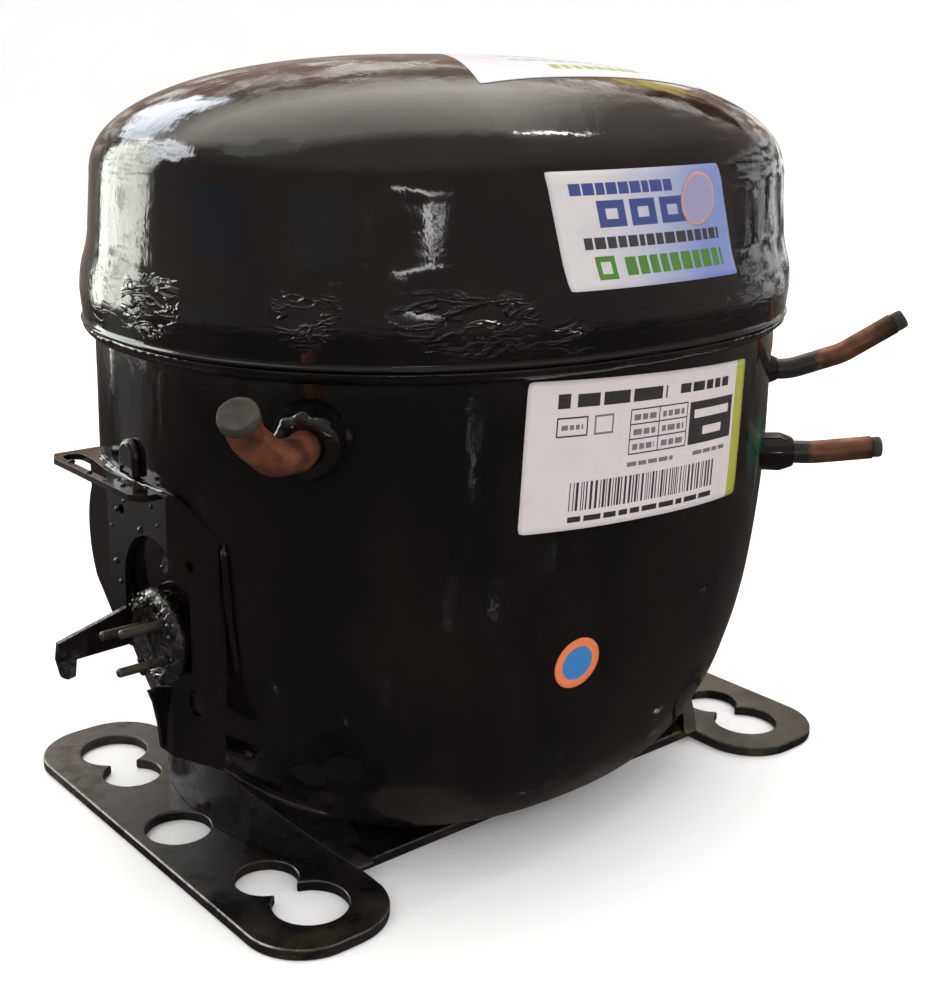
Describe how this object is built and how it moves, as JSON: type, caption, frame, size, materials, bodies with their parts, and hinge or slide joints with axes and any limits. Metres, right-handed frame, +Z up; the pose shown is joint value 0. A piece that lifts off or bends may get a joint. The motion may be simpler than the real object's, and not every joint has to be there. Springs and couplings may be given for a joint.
{
  "type": "hermetic reciprocating compressor",
  "caption": "Black welded oval compressor shell on a flat foot plate, with line tubes, a terminal and bracket, and a sprung piston pump and motor inside.",
  "frame": {"origin": "centre of both hole patterns of the feet, at the underside of the base plate", "axes": "+Z up, +X along the shell from the terminal bracket to the line tubes, -Y is the side with the labels"},
  "size_m": [0.2302, 0.1635, 0.2031],
  "materials": {
    "black_enamel": "thick glossy enamel with runs",
    "worn_black_paint": "satin, rubbed and dirty",
    "dark_paint": "satin black",
    "terminal_steel": "dark plated",
    "seal_glass": "fused glass",
    "pin_steel": "dull plated",
    "dull_copper": "dull, part painted copper",
    "bright_copper": "drawn copper",
    "black_rubber": "matt",
    "grey_rubber": "matt",
    "white_label": "printed film",
    "blue_sticker": "printed film",
    "orange_sticker": "printed film",
    "grey_iron": "cast, machined faces",
    "ground_steel": "ground",
    "pressed_steel": "pressed, zinc plated",
    "dark_steel": "blackened",
    "reed_steel": "polished strip",
    "gasket_fibre": "fibre sheet",
    "cast_aluminium": "die cast",
    "lamination_steel": "stacked sheets",
    "enamelled_copper": "enamelled wire",
    "nylon": "moulded",
    "spring_steel": "drawn wire",
    "white_plastic": "moulded",
    "lead_sleeve": "woven polyester sleeve"
  },
  "bodies": {
    "housing": {"lower_shell": "black_enamel", "upper_shell": "black_enamel", "weld_seam": "black_enamel", "base_plate": "worn_black_paint", "shell_cradle": "worn_black_paint", "terminal_bracket": "dark_paint", "earth_boss": "dark_paint", "terminal_body": "terminal_steel", "terminal_glass": "seal_glass", "terminal_pins": "pin_steel", "suction_collar": "black_enamel", "suction_tube": "dull_copper", "discharge_collar": "black_enamel", "discharge_tube": "dull_copper", "process_collar": "black_enamel", "process_tube": "bright_copper", "rating_label": "white_label", "service_sticker": "blue_sticker", "round_sticker": "orange_sticker", "crown_sticker": "white_label", "sway_cup": "pressed_steel", "spring_studs": "pressed_steel", "suspension_springs": "spring_steel", "discharge_loop": "bright_copper", "lead_connector": "white_plastic", "motor_leads": "lead_sleeve"},
    "pump_block": {"crankcase": "grey_iron", "sway_pin": "ground_steel", "valve_gasket": "gasket_fibre", "valve_plate": "ground_steel", "head_gasket": "gasket_fibre", "cylinder_head": "grey_iron", "head_screws": "dark_steel", "stator_core": "lamination_steel", "stator_winding": "enamelled_copper", "stator_bolts": "dark_steel", "spring_pads": "nylon", "suction_muffler": "nylon", "discharge_muffler": "pressed_steel", "thrust_washer": "ground_steel"},
    "crankshaft_group": {"crankshaft": "grey_iron", "counterweight": "pressed_steel", "oil_pickup": "pressed_steel", "rotor_core": "lamination_steel", "rotor_rings": "cast_aluminium"},
    "piston_group": {"piston": "grey_iron", "wrist_pin": "ground_steel"},
    "rod_group": {"connecting_rod": "cast_aluminium", "crank_pin": "ground_steel"},
    "suction_valve": {"suction_reed": "reed_steel"},
    "discharge_valve": {"discharge_reed": "reed_steel"},
    "suction_cap": {"suction_plug": "black_rubber"},
    "discharge_cap": {"discharge_plug": "black_rubber"},
    "process_cap": {"process_plug": "grey_rubber"}
  },
  "joints": [
    {"name": "suspension_bounce", "type": "slide", "parent": "housing", "child": "pump_block", "axis": [0, 0, 1], "range_m": [-0.0025, 0.0025], "stiffness_N_per_m": 12000, "springref_m": 0.00493, "deforming": ["suspension_springs"]},
    {"name": "crankshaft_spin", "type": "hinge", "parent": "pump_block", "child": "crankshaft_group", "pos_m": [0, 0, 0.131], "axis": [0, 0, 1], "continuous": true},
    {"name": "piston_stroke", "type": "slide", "parent": "pump_block", "child": "piston_group", "axis": [1, 0, 0], "range_m": [0, 0.018]},
    {"name": "rod_swing", "type": "hinge", "parent": "piston_group", "child": "rod_group", "pos_m": [0.033, 0, 0.144], "axis": [0, 0, 1], "range_deg": [-12.37, 12.37]},
    {"name": "suction_reed_flap", "type": "hinge", "parent": "pump_block", "child": "suction_valve", "pos_m": [0.0625, 0.011, 0.144], "axis": [0, 0, 1], "range_deg": [-7, 0], "stiffness_Nm_per_rad": 0.02},
    {"name": "discharge_reed_flap", "type": "hinge", "parent": "pump_block", "child": "discharge_valve", "pos_m": [0.0655, 0.009, 0.138], "axis": [0, 1, 0], "range_deg": [0, 8], "stiffness_Nm_per_rad": 0.02},
    {"name": "suction_cap_pull", "type": "slide", "parent": "housing", "child": "suction_cap", "axis": [0.7381, -0.6645, 0.1169], "range_m": [0, 0.012]},
    {"name": "discharge_cap_pull", "type": "slide", "parent": "housing", "child": "discharge_cap", "axis": [0.6251, -0.5628, 0.5408], "range_m": [0, 0.012]},
    {"name": "process_cap_pull", "type": "slide", "parent": "housing", "child": "process_cap", "axis": [-0.5329, -0.4264, 0.7309], "range_m": [0, 0.012]}
  ]
}
